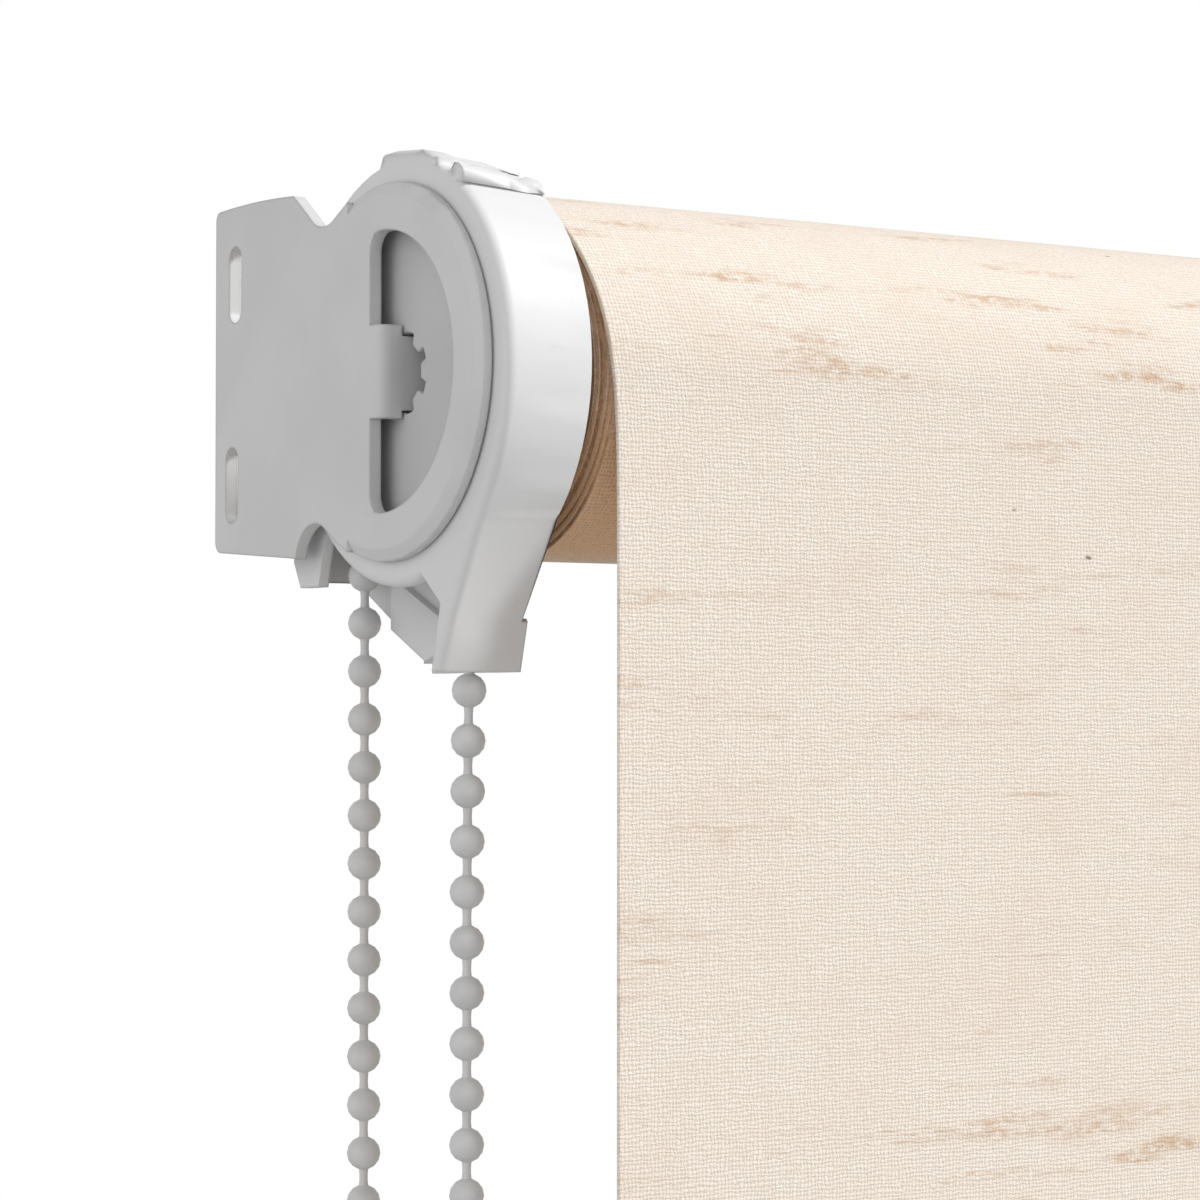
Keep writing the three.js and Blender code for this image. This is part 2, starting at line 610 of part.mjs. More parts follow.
// ---- bead chain -----------------------------------------------------------------------------
// The loop's route in (y, z), in the plane X = CHAIN_X, from the wall side of the wheel round to the
// room side. The connector and the stop ball sit between its pieces.
const CONNECTOR_Z = -430;
const STOP_Z = -300;
const wallUpper = [[19.1, -0.5], [19.1, -120], [19.1, -270], [19.1, -424]];
const lowerLoop = [
  [19.1, -436], [19.1, -520], [18.9, -572], [17.2, -588], [12.6, -597], [6.6, -599.9],
  [0.7, -597], [-3.9, -588],
  [-5.6, -572], [-5.8, -520], [-5.8, -420], [-5.8, -304],
];
const roomUpper = [
  [-5.8, -296], [-5.8, -180], [-5.8, -62], [-6, -46], [-6.2, -38], [-6.5, -34.5], [-7.7, -29.8],
  [-12.1, -19.7],
  [-17.4, -7.8],
];

function chainPiece(route, steps) {
  const curve = new THREE.CatmullRomCurve3(route.map(([y, z]) => new THREE.Vector3(CHAIN_X, y, z)), false,
    'centripetal');
  return bar(curve, BEAD / 2, steps, 8);
}

function chainOnWheel() {
  const points = [];
  const STEPS = 16;
  const FROM = rad(1.5);
  const TO = rad(200);
  for (let i = 0; i <= STEPS; i += 1) {
    const a = FROM + ((TO - FROM) * i) / STEPS;
    points.push(new THREE.Vector3(CHAIN_X, PITCH_RADIUS * Math.cos(a), PITCH_RADIUS * Math.sin(a)));
  }
  return bar(new THREE.CatmullRomCurve3(points), BEAD / 2, STEPS, 8);
}

// Turned pieces that snap over the chain, on a vertical axis.
function onChain(y, z, profile) {
  const points = [...profile, profile[0]].map(([r, h]) => new THREE.Vector2(r, h));
  const geometry = new THREE.LatheGeometry(points, 16);
  geometry.rotateX(Math.PI / 2);
  geometry.translate(CHAIN_X, y, z);
  return solid(geometry);
}

function chainConnector() {
  return onChain(19.1, CONNECTOR_Z, [[0, -5.6], [2.4, -5.6], [3.2, -4.6], [3.2, 4.6], [2.4, 5.6], [0, 5.6]]);
}

function stopBall() {
  return onChain(ROOM_STRAND_Y, STOP_Z, [
    [0, -3.6], [2.2, -3.6], [3.5, -2.2], [4.1, 0], [3.5, 2.2], [2.2, 3.6], [0, 3.6],
  ]);
}

// ---- assembly -------------------------------------------------------------------------------
add('clutch_bracket', clutchBracket(), 'bracket');
add('guard_cover', guardCover(), 'moulding');
add('guard_back', guardBack(), 'moulding');
add('clutch_core', clutchCore(), 'acetal');
add('chain_wheel', chainWheel(), 'acetal');
add('wrap_spring_near', wrapSpring(14), 'steel');
add('wrap_spring_far', wrapSpring(22.5), 'steel');
add('drive_hub', driveHub(), 'acetal');
add('hub_retaining_ring', retainingRing(), 'steel');
add('roller_tube', rollerTube(), 'aluminium');
add('fabric_spline', box(20, 579, -1.9, 1.9, CHANNEL.slotBottom + GAP, TUBE_RADIUS - 0.4), 'acetal');
add('wound_fabric', ring(TUBE_RADIUS + GAP, ROLL_RADIUS, FABRIC_START, FABRIC_END, 64), 'cloth');
const hangingFabric = box(
  FABRIC_START, FABRIC_END, RAIL_Y - CLOTH / 2, RAIL_Y + CLOTH / 2, SHEET_BOTTOM_Z, 0,
);
add('hanging_fabric', hangingFabric, 'cloth');
add('bottom_rail', bottomRail(), 'aluminium');
add('rail_rod', disc(2.4, FABRIC_START + 0.3, FABRIC_END - 0.3, 16).translate([0, RAIL_Y, ROD_Z]), 'acetal');
add('rail_end_cap_chain_side', railEndCap(FABRIC_START - GAP, 1), 'moulding');
add('rail_end_cap_idle_side', railEndCap(FABRIC_END + GAP, -1), 'moulding');
add('idle_plug', idlePlug(), 'acetal');
add('idle_pin', idlePin(), 'steel');
add('pin_spring', pinSpring(), 'steel');
add('idle_bracket', idleBracket(), 'bracket');
add('chain_on_wheel', chainOnWheel(), 'chain');
add('chain_wall_upper', chainPiece(wallUpper, 14), 'chain');
add('chain_lower_loop', chainPiece(lowerLoop, 36), 'chain');
add('chain_room_upper', chainPiece(roomUpper, 20), 'chain');
add('chain_connector', chainConnector(), 'chain');
add('chain_stop_ball', stopBall(), 'chain');

export default group;
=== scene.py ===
import json
import math

import bmesh
import bpy
import numpy as np
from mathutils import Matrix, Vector


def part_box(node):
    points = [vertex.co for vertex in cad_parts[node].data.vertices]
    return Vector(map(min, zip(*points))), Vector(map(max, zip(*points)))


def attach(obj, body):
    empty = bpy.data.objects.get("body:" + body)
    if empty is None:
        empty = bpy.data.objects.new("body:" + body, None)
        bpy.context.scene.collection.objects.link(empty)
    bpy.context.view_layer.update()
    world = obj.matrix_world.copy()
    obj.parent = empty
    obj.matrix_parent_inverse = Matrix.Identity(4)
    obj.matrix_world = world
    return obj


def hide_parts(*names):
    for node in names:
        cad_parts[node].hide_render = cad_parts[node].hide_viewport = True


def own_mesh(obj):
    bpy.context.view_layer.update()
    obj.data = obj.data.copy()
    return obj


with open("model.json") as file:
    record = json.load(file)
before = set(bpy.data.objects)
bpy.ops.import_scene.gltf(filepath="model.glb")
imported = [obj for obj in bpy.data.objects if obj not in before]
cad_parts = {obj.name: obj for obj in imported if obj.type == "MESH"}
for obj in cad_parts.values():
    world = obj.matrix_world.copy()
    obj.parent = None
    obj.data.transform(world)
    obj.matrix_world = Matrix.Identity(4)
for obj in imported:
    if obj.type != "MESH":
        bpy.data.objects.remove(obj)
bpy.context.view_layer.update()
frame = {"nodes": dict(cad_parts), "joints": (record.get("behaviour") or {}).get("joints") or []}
MM = 0.001
AXIS_Y = -38 * MM  # the roller's axis, from the fixing slots

# ---- Clutch bracket ----------------------------------------------------------------------------
# Injection moulded in light grey-white plastic: an arm with two fixing slots, a ringed disc with a
# D-shaped window, and a hook that enters the clutch. Every edge is softened by the mould.


class Value:
    """One socket in a material, so that its maths reads as arithmetic: an operator adds a Math node."""

    def __init__(self, finish, socket):
        self.finish = finish
        self.socket = socket

    def _math(self, operation, *inputs):
        values = {i: v for i, v in enumerate(inputs)}
        return self.finish.node("ShaderNodeMath", {"operation": operation}, values)

    def __add__(self, other):
        return self._math("ADD", self, other)

    def __sub__(self, other):
        return self._math("SUBTRACT", self, other)

    def __rsub__(self, other):
        return self._math("SUBTRACT", other, self)

    def __mul__(self, other):
        return self._math("MULTIPLY", self, other)

    def __pow__(self, other):
        return self._math("POWER", self, other)

    def __abs__(self):
        return self._math("ABSOLUTE", self)

    def sine(self):
        return self._math("SINE", self)

    def larger(self, other):
        return self._math("MAXIMUM", self, other)

    def between(self, low, high):
        """0 below low, 1 above high, and smooth from one to the other."""
        settings = {"interpolation_type": "SMOOTHSTEP"}
        return self.finish.node("ShaderNodeMapRange", settings, {"Value": self, 1: low, 2: high})

    __radd__ = __add__
    __rmul__ = __mul__


class Finish:
    """A material under construction: fixed values go on the shader's own sockets."""

    def __init__(self, name, **fixed):
        self.material = bpy.data.materials.new(name)
        self.material.use_nodes = True
        self.tree = self.material.node_tree
        self.shader = self.tree.nodes["Principled BSDF"]
        for key, value in fixed.items():
            self.input(key).default_value = value

    def input(self, key):
        """The shader's socket, from its name in lower case with underscores."""
        return self.shader.inputs["IOR" if key == "ior" else key.replace("_", " ").title()]

    def node(self, kind, settings=None, inputs=None, output=0):
        made = self.tree.nodes.new(kind)
        for key, value in (settings or {}).items():
            setattr(made, key, value)
        for key, value in (inputs or {}).items():
            self.join(made.inputs[key], value)
        return Value(self, made.outputs[output])

    def join(self, socket, value):
        if isinstance(value, Value):
            self.tree.links.new(value.socket, socket)
        else:
            socket.default_value = value

    def place(self, stretch=(1, 1, 1)):
        """Object coordinates in metres, stretched along each axis."""
        where = self.node("ShaderNodeTexCoord", output="Object")
        inputs = {"Vector": where, "Scale": stretch}
        return self.node("ShaderNodeMapping", inputs=inputs)

    def noise(self, where, scale, detail=2.0, roughness=0.5):
        inputs = {"Vector": where, "Scale": scale, "Detail": detail, "Roughness": roughness}
        return self.node("ShaderNodeTexNoise", inputs=inputs)

    def part(self, where, axis):
        """One coordinate of a vector: 0 is x or u, 1 is y or v, 2 is z."""
        return self.node("ShaderNodeSeparateXYZ", inputs={0: where}, output=axis)

    def mix(self, factor, a, b):
        """From colour a to colour b as factor goes from 0 to 1."""
        colour_a, colour_b, colour_result = 6, 7, 2  # the colour sockets of a Mix node
        inputs = {0: factor, colour_a: a, colour_b: b}
        return self.node("ShaderNodeMix", {"data_type": "RGBA"}, inputs, colour_result)

    def bump(self, height, distance, strength=1.0, under=None):
        inputs = {"Height": height, "Distance": distance, "Strength": strength}
        if under is not None:
            inputs["Normal"] = under
        return self.node("ShaderNodeBump", inputs=inputs)

    def done(self, **varying):
        for key, value in varying.items():
            self.join(self.input(key), value)
        return self.material


def moulded_plastic(name, light, dark, roughness=0.44, grain=0.012, edge=0.55):
    """Satin moulded plastic: faint flow marks in the colour, a spark-eroded grain, slight sinking, and
    shading that rolls softly round every edge."""
    finish = Finish(name, ior=1.46)
    where = finish.place()
    flow = finish.noise(where, 55, detail=3)
    speck = finish.noise(where, 1500, detail=2)
    smudge = finish.noise(finish.place((1, 0.35, 1.6)), 240, detail=4, roughness=0.65)
    colour = finish.mix(flow.between(0.3, 0.7), (*dark, 1), (*light, 1))
    worn = tuple(0.86 * c for c in dark)
    colour = finish.mix(smudge.between(0.66, 0.8) * 0.5, colour, (*worn, 1))
    rounded = finish.node("ShaderNodeBevel", {"samples": 6}, {"Radius": edge * MM})
    sink = finish.bump(flow, 0.35 * MM, 0.3, under=rounded)
    texture = finish.bump(speck, grain * MM, 0.8, under=sink)
    rough = roughness + 0.09 * speck + 0.06 * smudge
    return finish.done(base_color=colour, roughness=rough, normal=texture)


def finished(name, node, body, material, bevel=0.0):
    """A merged copy of a CAD node, its edges rounded by a bevel of so many millimetres, or kept sharp.

    The bevel needs the flat faces whole, so triangles in one plane are joined before it.
    """
    mesh = bpy.data.meshes.new(name)
    work = bmesh.new()
    work.from_mesh(frame["nodes"][node].data)
    bmesh.ops.remove_doubles(work, verts=work.verts, dist=0.002 * MM)
    if bevel:
        flat = math.radians(0.6)
        bmesh.ops.dissolve_limit(work, angle_limit=flat, verts=work.verts, edges=work.edges)
    work.to_mesh(mesh)
    work.free()
    mesh.materials.append(material)
    mesh.shade_smooth()
    piece = bpy.data.objects.new(name, mesh)
    bpy.context.scene.collection.objects.link(piece)
    if bevel:
        soften = piece.modifiers.new("soften", "BEVEL")
        soften.width, soften.segments = bevel * MM, 3
        soften.limit_method, soften.angle_limit = "ANGLE", math.radians(28)
    else:
        mesh.set_sharp_from_angle(angle=math.radians(30))
    even = piece.modifiers.new("even", "WEIGHTED_NORMAL")
    even.keep_sharp, even.weight = True, 90
    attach(piece, body)
    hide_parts(node)
    return piece


bracket_plastic = moulded_plastic("bracket_plastic", (0.70, 0.70, 0.70), (0.655, 0.655, 0.655))
finished("clutch_bracket_moulding", "clutch_bracket", "brackets", bracket_plastic, 0.35)

# ---- Chain guard -------------------------------------------------------------------------------
# A whiter moulding that snaps over the chain wheel: a drum with a tail for the room strand and an ear
# for the wall strand. A flat back fits inside its far edge.
guard_plastic = moulded_plastic("guard_plastic", (0.765, 0.765, 0.765), (0.735, 0.735, 0.735), 0.42)
finished("chain_guard", "guard_cover", "brackets", guard_plastic)
finished("chain_guard_back", "guard_back", "brackets", guard_plastic)

# ---- Clutch ------------------------------------------------------------------------------------
# A fixed core with a toothed socket, the chain wheel that turns on it, two wrap springs that grip the
# core, and the hub that drives the tube. The plastic pieces are natural acetal.
core_plastic = moulded_plastic("core_plastic", (0.60, 0.60, 0.60), (0.56, 0.56, 0.56), roughness=0.5)
acetal = moulded_plastic("acetal", (0.72, 0.71, 0.68), (0.68, 0.67, 0.64), roughness=0.38)
finished("clutch_core_moulding", "clutch_core", "brackets", core_plastic, 0.25)
finished("pocketed_chain_wheel", "chain_wheel", "roller", acetal)
finished("tube_drive_hub", "drive_hub", "roller", acetal)


def drawn_metal(name, colour, roughness, along=(1, 1, 1)):
    """Bare metal with fine die lines, which run the way that along is short."""
    finish = Finish(name, metallic=1.0)
    lines = finish.noise(finish.place(along), 2600, detail=3)
    patch = finish.noise(finish.place(), 90, detail=3)
    darker = tuple(0.8 * c for c in colour)
    shade = finish.mix(patch.between(0.3, 0.75), (*darker, 1), (*colour, 1))
    rough = roughness + 0.16 * lines + 0.08 * patch
    return finish.done(base_color=shade, roughness=rough, normal=finish.bump(lines, 0.006 * MM))


spring_steel = drawn_metal("spring_steel", (0.56, 0.56, 0.57), 0.2)
finished("wrap_spring_one", "wrap_spring_near", "roller", spring_steel)
finished("wrap_spring_two", "wrap_spring_far", "roller", spring_steel)
finished("retaining_ring", "hub_retaining_ring", "brackets", spring_steel)

# ---- Tube --------------------------------------------------------------------------------------
# An extruded aluminium tube with a channel inside it for the plugs' keys; the cloth's top edge is
# held in the channel by a plastic spline.
aluminium = drawn_metal("aluminium", (0.78, 0.78, 0.79), 0.3, along=(0.04, 1, 1))
finished("extruded_tube", "roller_tube", "roller", aluminium)
finished("cloth_spline", "fabric_spline", "roller", acetal)

# ---- Cloth on the roll -------------------------------------------------------------------------
# Linen-look canvas, 0.6 mm thick and plain woven, in ten wraps round the tube. The cut edges of the
# wraps show at the roll's ends, each a little out of line with the next.
EDGE_LEFT = 19.4 * MM
EDGE_RIGHT = 579.4 * MM
WRAPS = 10
OUTER_WRAP = 22.4 * MM  # the outermost wrap's middle
INNER_WRAP = 16.75 * MM
THREAD = 0.53 * MM
HALF_CLOTH = 0.275 * MM
SOFT_EDGE = 0.1 * MM
SKEW = 0.85  # millimetres towards the clutch where the cloth leaves the roll
SKEW_ON_TOP = 2.8


def linen_canvas(name, wound):
    """Plain weave on the piece's UV map, in metres: warp and weft ridges that cross over and under.

    A thread's ridge is the absolute sine across it; the product of the two sines says which thread is
    on top. Noise bends the threads and makes each thicker or thinner along its length. Noise stretched
    along the weft makes the slubs, and rare peaks are specks of stalk. The weave's crowns are painted
    lighter and its hollows darker: painted highlight and shade. On the roll, the underside on the room
    side is painted warm brown, which is painted shade, and the cut edges at the clutch end are brown,
    partly their own colour and partly painted shade between the wraps.
    """
    finish = Finish(name, roughness=0.95, sheen_weight=0.1, sheen_roughness=0.5, ior=1.4)
    uv = finish.node("ShaderNodeUVMap", {"uv_map": "flat"})
    across = finish.part(uv, 0)
    along = finish.part(uv, 1)

    def stretched(u, v, scale, detail=2.0, roughness=0.5):
        where = finish.node("ShaderNodeMapping", inputs={"Vector": uv, "Scale": (u, v, 1)})
        return finish.noise(where, scale, detail, roughness)

    stray_u = stretched(1, 0.6, 640, 3, 0.6)
    stray_v = stretched(0.6, 1, 680, 3, 0.6)
    weft_size = stretched(0.15, 1, 1400, 3, 0.65)
    warp_size = stretched(1, 0.15, 1400, 3, 0.65)
    u = (across + (stray_u - 0.5) * (1.15 * MM)) * (math.pi / THREAD)
    v = (along + (stray_v - 0.5) * (1.0 * MM)) * (math.pi / THREAD)
    over = u.sine() * v.sine()
    warp = (abs(u.sine()) ** 0.8) * (0.6 + 0.4 * over) * (0.45 + 1.1 * warp_size)
    weft = (abs(v.sine()) ** 0.8) * (0.6 - 0.4 * over) * (0.45 + 1.1 * weft_size)
    fuzz = stretched(1, 1, 1900, 4, 0.75)
    height = warp.larger(weft) + (fuzz - 0.5) * 0.9
    cloud = stretched(0.7, 1, 60, 5, 0.65)
    slub = stretched(0.13, 1, 210, 4, 0.62)
    patch = stretched(0.6, 1, 24, 3)
    streak = stretched(0.05, 1, 620, 3, 0.6)
    grain = stretched(0.5, 1, 900, 3, 0.7)
    seed = stretched(0.6, 1, 300, 1)
    # Painted highlight and shade: the weave's crowns are painted lighter, the highest near white, and its
    # hollows darker.
    lit = height.between(0.0, 0.75)
    shade = finish.mix(lit, (0.69, 0.58, 0.475, 1), (0.865, 0.775, 0.68, 1))
    shade = finish.mix(height.between(0.55, 1.15) * 0.7, shade, (0.98, 0.915, 0.845, 1))
    shade = finish.mix(cloud.between(0.45, 0.75) * 0.35, shade, (0.80, 0.655, 0.53, 1))
    stain = slub.between(0.54, 0.68) * grain.between(0.36, 0.6) * patch.between(0.40, 0.58)
    hair = streak.between(0.64, 0.74) * cloud.between(0.42, 0.6) * 0.7
    shade = finish.mix(stain.larger(hair) * 0.8, shade, (0.60, 0.395, 0.245, 1))
    shade = finish.mix(seed.between(0.80, 0.83) * 0.85, shade, (0.17, 0.10, 0.06, 1))
    if wound:
        # Painted shade: below the axis on the room side the roll is painted warm brown, standing in for
        # the shade and the warm light bounced from the cloth there.
        where = finish.node("ShaderNodeTexCoord", output="Object")
        in_front = (AXIS_Y - finish.part(where, 1)).between(-4 * MM, 8 * MM)
        below = (0 - finish.part(where, 2)).between(1 * MM, 9 * MM) * in_front
        underside_painted_shade = finish.mix(lit, (0.62, 0.36, 0.19, 1), (0.97, 0.64, 0.39, 1))
        shade = finish.mix(below * 0.9, shade, underside_painted_shade)
        # Partly the cut edges' own brown and partly painted shade: at the clutch end the inner wraps are
        # painted darker than the outermost and banded wrap by wrap, for the shade between the wraps.
        cut = 1 - (across - EDGE_LEFT).between(0.02 * MM, 0.12 * MM)
        rough_edge = finish.noise(where, 900, 3, 0.7)
        wrap = stretched(0, 1, 13, 2)
        inner = (0 - along).between(0.01, 0.14)
        tone = (wrap * 0.75 + rough_edge * 0.25).between(0.38, 0.62)
        brown = finish.mix(tone, (0.28, 0.135, 0.065, 1), (0.76, 0.48, 0.28, 1))
        brown = finish.mix(inner, (0.80, 0.66, 0.52, 1), brown)
        shade = finish.mix(cut, shade, brown)
    relief = finish.bump(height + 0.6 * slub.between(0.5, 0.8), 0.14 * MM, 0.65)
    return finish.done(base_color=shade, normal=relief)


def surface(name, points, uv=None, closed=False):
    """A mesh from a grid of points, rows by columns; its faces turn outwards where rows run clockwise.

    A closed surface joins each row's last point to its first, and a cap closes the first and last rows.
    """
    rows, columns = points.shape[:2]
    at = np.arange(rows * columns).reshape(rows, columns)
    a = np.concatenate([at, at[:, :1]], axis=1) if closed else at
    quads = np.stack([a[:-1, :-1], a[1:, :-1], a[1:, 1:], a[:-1, 1:]], axis=-1).reshape(-1, 4)
    faces = quads.tolist()
    if closed:
        faces += [at[0].tolist(), at[-1, ::-1].tolist()]
    mesh = bpy.data.meshes.new(name)
    mesh.from_pydata(points.reshape(-1, 3).tolist(), [], faces)
    if uv is not None:
        layer = mesh.uv_layers.new(name="flat")
        corner = np.zeros(len(mesh.loops), np.int32)
        mesh.loops.foreach_get("vertex_index", corner)
        layer.data.foreach_set("uv", uv.reshape(-1, 2)[corner].astype(np.float32).ravel())
    mesh.shade_smooth()
    mesh.set_sharp_from_angle(angle=math.radians(30))
    piece = bpy.data.objects.new(name, mesh)
    bpy.context.scene.collection.objects.link(piece)
    return piece


wound_linen = linen_canvas("wound_linen", True)


def wound_roll(name):
    """A spiral ribbon. Its radius falls evenly from the outer wrap to the inner as the angle runs on.

    Each station carries a closed outline of the cloth's section, from one cut edge to the other and
    back, and the cut edges wander by up to a quarter of a millimetre from wrap to wrap. The last half
    turn is skewed towards the clutch by half a sine wave.
    """
    steps_a_turn = 90
    turn = np.linspace(0, WRAPS, WRAPS * steps_a_turn + 1)
    angle = math.pi - 2 * math.pi * turn
    middle = OUTER_WRAP + (INNER_WRAP - OUTER_WRAP) * turn / WRAPS
    wander = (0.17 * np.sin(2.4 * turn + 1) + 0.12 * np.sin(6.1 * turn)) * np.minimum(turn, 1)
    r = middle[:, None] + HALF_CLOTH * np.array([1, 1, 1, 1, -1, -1])
    skew = SKEW_ON_TOP * np.sin(2 * math.pi * np.minimum(turn, 0.5)) + SKEW * np.maximum(1 - 2 * turn, 0)
    left = EDGE_LEFT + (wander - skew) * MM
    right = EDGE_RIGHT - (wander[::-1] + skew) * MM
    x = np.stack([left, left + SOFT_EDGE, right - SOFT_EDGE, right, right, left], axis=1)
    r[:, 0] -= SOFT_EDGE
    r[:, 3] -= SOFT_EDGE
    across = angle[:, None] + 0 * r
    points = np.stack([x, AXIS_Y + r * np.cos(across), r * np.sin(across)], axis=-1)
    length = -2 * math.pi * turn * (OUTER_WRAP + middle) / 2
    near = [EDGE_LEFT, EDGE_LEFT + SOFT_EDGE]
    far = [EDGE_RIGHT - SOFT_EDGE, EDGE_RIGHT]
    flat_x = np.array(near + far + [EDGE_RIGHT, EDGE_LEFT])
    uv = np.stack([flat_x + 0 * x, length[:, None] + 0 * x], axis=-1)
    piece = surface(name, points[:, ::-1], uv[:, ::-1], closed=True)
    return piece, 2 * math.pi * WRAPS * (OUTER_WRAP + INNER_WRAP) / 2


wound, wound_length = wound_roll("wound_cloth")
wound.data.materials.append(wound_linen)
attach(wound, "roller")
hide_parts("wound_fabric")

# ---- Hanging cloth -----------------------------------------------------------------------------
# The same cloth, from where it leaves the front of the roll down to the bottom rail, in which its
# lower edge is clamped. It hangs flat, with a ripple of a fraction of a millimetre.
sheet_low, sheet_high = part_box("hanging_fabric")


def hanging_cloth(name):
    """A closed outline of the cloth's section at each height, from the roll's front down to the rail.

    The middle plane leans from the roll's front to the rail's middle, and two crossed sine waves ripple
    it, less near the roll and the rail. The cut edges are a tenth of a millimetre round.
    """
    x = np.linspace(EDGE_LEFT, EDGE_RIGHT, 113)
    x = np.concatenate([x[:1], x[:1] + SOFT_EDGE, x[1:-1], x[-1:] - SOFT_EDGE, x[-1:]])
    thick = np.full(len(x), HALF_CLOTH)
    thick[[0, -1]] -= SOFT_EDGE
    out = np.concatenate([-thick, thick[::-1]])[None, :]
    down = (np.linspace(0, 1, 181) ** 1.3)[:, None]
    z = down * sheet_low.z
    flat_x = np.concatenate([x, x[::-1]])[None, :] + 0 * z
    x = flat_x - SKEW * MM * np.exp(z / (5 * MM))
    rail = (sheet_low.y + sheet_high.y) / 2
    lean = (AXIS_Y - OUTER_WRAP) + (rail - AXIS_Y + OUTER_WRAP) * down
    hold = np.sin(math.pi * down) ** 0.6
    ripple = 0.32 * np.sin(x / 0.043 + 2 * down) + 0.22 * np.sin(x / 0.019 - 3 * down + 1)
    points = np.stack([x, lean + hold * ripple * MM + out, z + 0 * x], axis=-1)
    uv = np.stack([flat_x, -z + 0 * x], axis=-1)
    return surface(name, points, uv, closed=True)


hanging = hanging_cloth("hanging_cloth")
hanging.data.materials.append(linen_canvas("linen_canvas", False))
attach(hanging, "brackets")
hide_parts("hanging_fabric")
rail_travel = next(j for j in frame["joints"] if j["name"] == "hem_lift")["range_m"][1]
left_at_top = 1 + rail_travel / sheet_low.z
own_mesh(hanging)

# ---- Bottom rail -------------------------------------------------------------------------------
# An extruded aluminium rail, powder coated to match the cloth. A rod wedges the cloth in its groove,
# and a moulded cap closes each end.


def powder_coat(name, colour):
    """Powder coat: an orange-peel surface on an even colour."""
    finish = Finish(name, ior=1.5)
    peel = finish.noise(finish.place(), 900, detail=2)
    dust = finish.noise(finish.place(), 120, detail=4)
    lighter = tuple(min(1, 1.06 * c) for c in colour)
    shade = finish.mix(dust.between(0.35, 0.65), (*colour, 1), (*lighter, 1))
    return finish.done(base_color=shade, roughness=0.4 + 0.12 * peel, normal=finish.bump(peel, 0.02 * MM))


rail_paint = powder_coat("rail_powder_coat", (0.74, 0.68, 0.60))
finished("hem_rail", "bottom_rail", "hem", rail_paint)
finished("hem_rod", "rail_rod", "hem", acetal)
finished("hem_cap_chain_side", "rail_end_cap_chain_side", "hem", guard_plastic)
finished("hem_cap_idle_side", "rail_end_cap_idle_side", "hem", guard_plastic)

# ---- Idle end ----------------------------------------------------------------------------------
# A plug in the tube's other end with a sprung steel pin, which drops into the boss of a plain bracket
# moulded like the clutch bracket.
finished("tube_idle_plug", "idle_plug", "roller", acetal)
finished("sprung_pin", "idle_pin", "pin", spring_steel)
return_spring = finished("pin_return_spring", "pin_spring", "roller", spring_steel)
spring_low, spring_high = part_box("pin_spring")
pin_travel = next(j for j in frame["joints"] if j["name"] == "idle_pin_press")["range_m"][1]
1 - pin_travel / (spring_high.x - spring_low.x)
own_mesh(return_spring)
finished("idle_bracket_moulding", "idle_bracket", "brackets", bracket_plastic)

# ---- Bead chain --------------------------------------------------------------------------------
# Grey plastic beads moulded 6 mm apart on a twisted polyester cord, joined into a loop by a snap
# connector. A stop ball on the room strand keeps the blind from overwinding.
CHAIN_X = 8.75 * MM
PITCH = 6 * MM
BEAD = 4.2 * MM
CORD = 1.05 * MM
WHEEL = 19.1 * MM
# Each stretch of the route as distances from the roller's axis, towards the wall and up.
WALL_STRAND = [(19.1, -0.5), (19.1, -120), (19.1, -270), (19.1, -424), (19.1, -436), (19.1, -520)]
LOOP = [(18.9, -572), (17.2, -588), (12.6, -597), (6.6, -599.9), (0.7, -597), (-3.9, -588), (-5.6, -572)]
ROOM_STRAND = [(-5.8, -520), (-5.8, -420), (-5.8, -304), (-5.8, -296), (-5.8, -180), (-5.8, -62)]
INTO_GUARD = [(-6.0, -46), (-6.2, -38), (-6.5, -34.5), (-7.7, -29.8), (-12.1, -19.7), (-17.4, -7.8)]
FIRST_WALL_BEAD = -29.4 * MM
FIRST_ROOM_BEAD = -38.2 * MM


def chain_route():
    """The loop's middle line, from the wall side of the wheel down, round and back over the wheel.

    Straight runs between the route's points and the wheel's arc are cut into short equal steps, and a
    running mean 6 mm long rounds the corners.
    """
    over = np.radians(np.linspace(206, 3, 60))
    arc = WHEEL * np.stack([np.cos(over), np.sin(over)], axis=1)
    hanging_part = MM * np.array(WALL_STRAND + LOOP + ROOM_STRAND + INTO_GUARD)
    corners = np.concatenate([hanging_part, arc])
    gone = np.concatenate([[0], np.cumsum(np.linalg.norm(np.diff(corners, axis=0), axis=1))])
    step = 0.25 * MM
    at = np.linspace(0, gone[-1], round(gone[-1] / step) + 1)
    line = np.stack([np.interp(at, gone, corners[:, k]) for k in range(2)], axis=1)
    width = round(PITCH / step)
    before = np.repeat(line[:1], width // 2, 0)
    after = np.repeat(line[-1:], width // 2, 0)
    sums = np.cumsum(np.concatenate([np.zeros((1, 2)), before, line, after]), axis=0)
    line = (sums[width:] - sums[:-width])[: len(at)] / width
    return np.stack([CHAIN_X + 0 * at, AXIS_Y + line[:, 0], line[:, 1]], axis=1)


